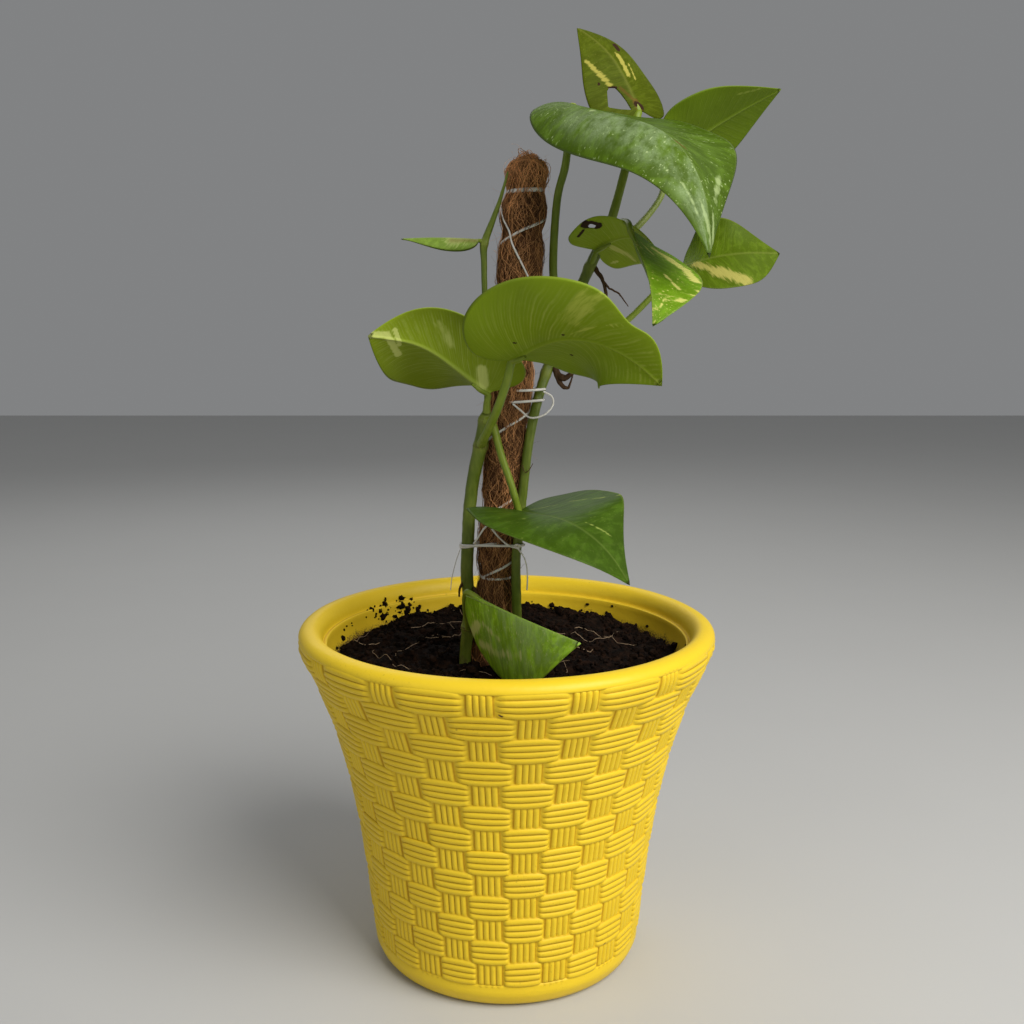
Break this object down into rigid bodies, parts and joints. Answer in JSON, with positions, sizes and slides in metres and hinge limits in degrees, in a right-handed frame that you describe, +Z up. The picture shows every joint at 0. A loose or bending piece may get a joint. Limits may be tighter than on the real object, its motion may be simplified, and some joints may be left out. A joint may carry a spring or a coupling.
{
  "type": "potted climbing pothos plant on a coir pole",
  "caption": "Climbing plant with heart-shaped variegated leaves, tied to a coir pole in a round pot of soil with a basket-weave wall.",
  "frame": {"origin": "centre of the pot's flat underside, on the surface that it stands on", "axes": "+Z up; the plant's pictured side faces -Y, with +X to the right in that view"},
  "size_m": [0.2305, 0.2002, 0.4446],
  "materials": {
    "pot_plastic": "semi-gloss moulded",
    "soil": "matt crumbly",
    "coir": "rough fibre",
    "stick_wood": "plain",
    "stem_green": "smooth living stem",
    "twine": "thin twine",
    "tie_string": "flat nylon string",
    "leaf_1": "glossy living leaf",
    "leaf_2": "glossy living leaf",
    "leaf_3": "glossy living leaf",
    "leaf_4": "glossy living leaf",
    "leaf_5": "glossy living leaf",
    "leaf_6": "glossy living leaf",
    "leaf_7": "glossy living leaf",
    "leaf_8": "glossy living leaf",
    "leaf_9": "glossy living leaf",
    "leaf_10": "glossy living leaf",
    "leaf_11": "glossy living leaf"
  },
  "bodies": {
    "root": {"pot": "pot_plastic", "soil": "soil", "coir_pole": "coir", "pole_stick": "stick_wood", "vine_left": "stem_green", "vine_right": "stem_green", "pole_twine": "twine", "tie_lower": "tie_string", "tie_upper": "tie_string", "leaf_1": "leaf_1", "leaf_2": "leaf_2", "leaf_3": "leaf_3", "leaf_4": "leaf_4", "leaf_5": "leaf_5", "leaf_6": "leaf_6", "leaf_7": "leaf_7", "leaf_8": "leaf_8", "leaf_9": "leaf_9", "leaf_10": "leaf_10", "leaf_11": "leaf_11"}
  },
  "joints": []
}
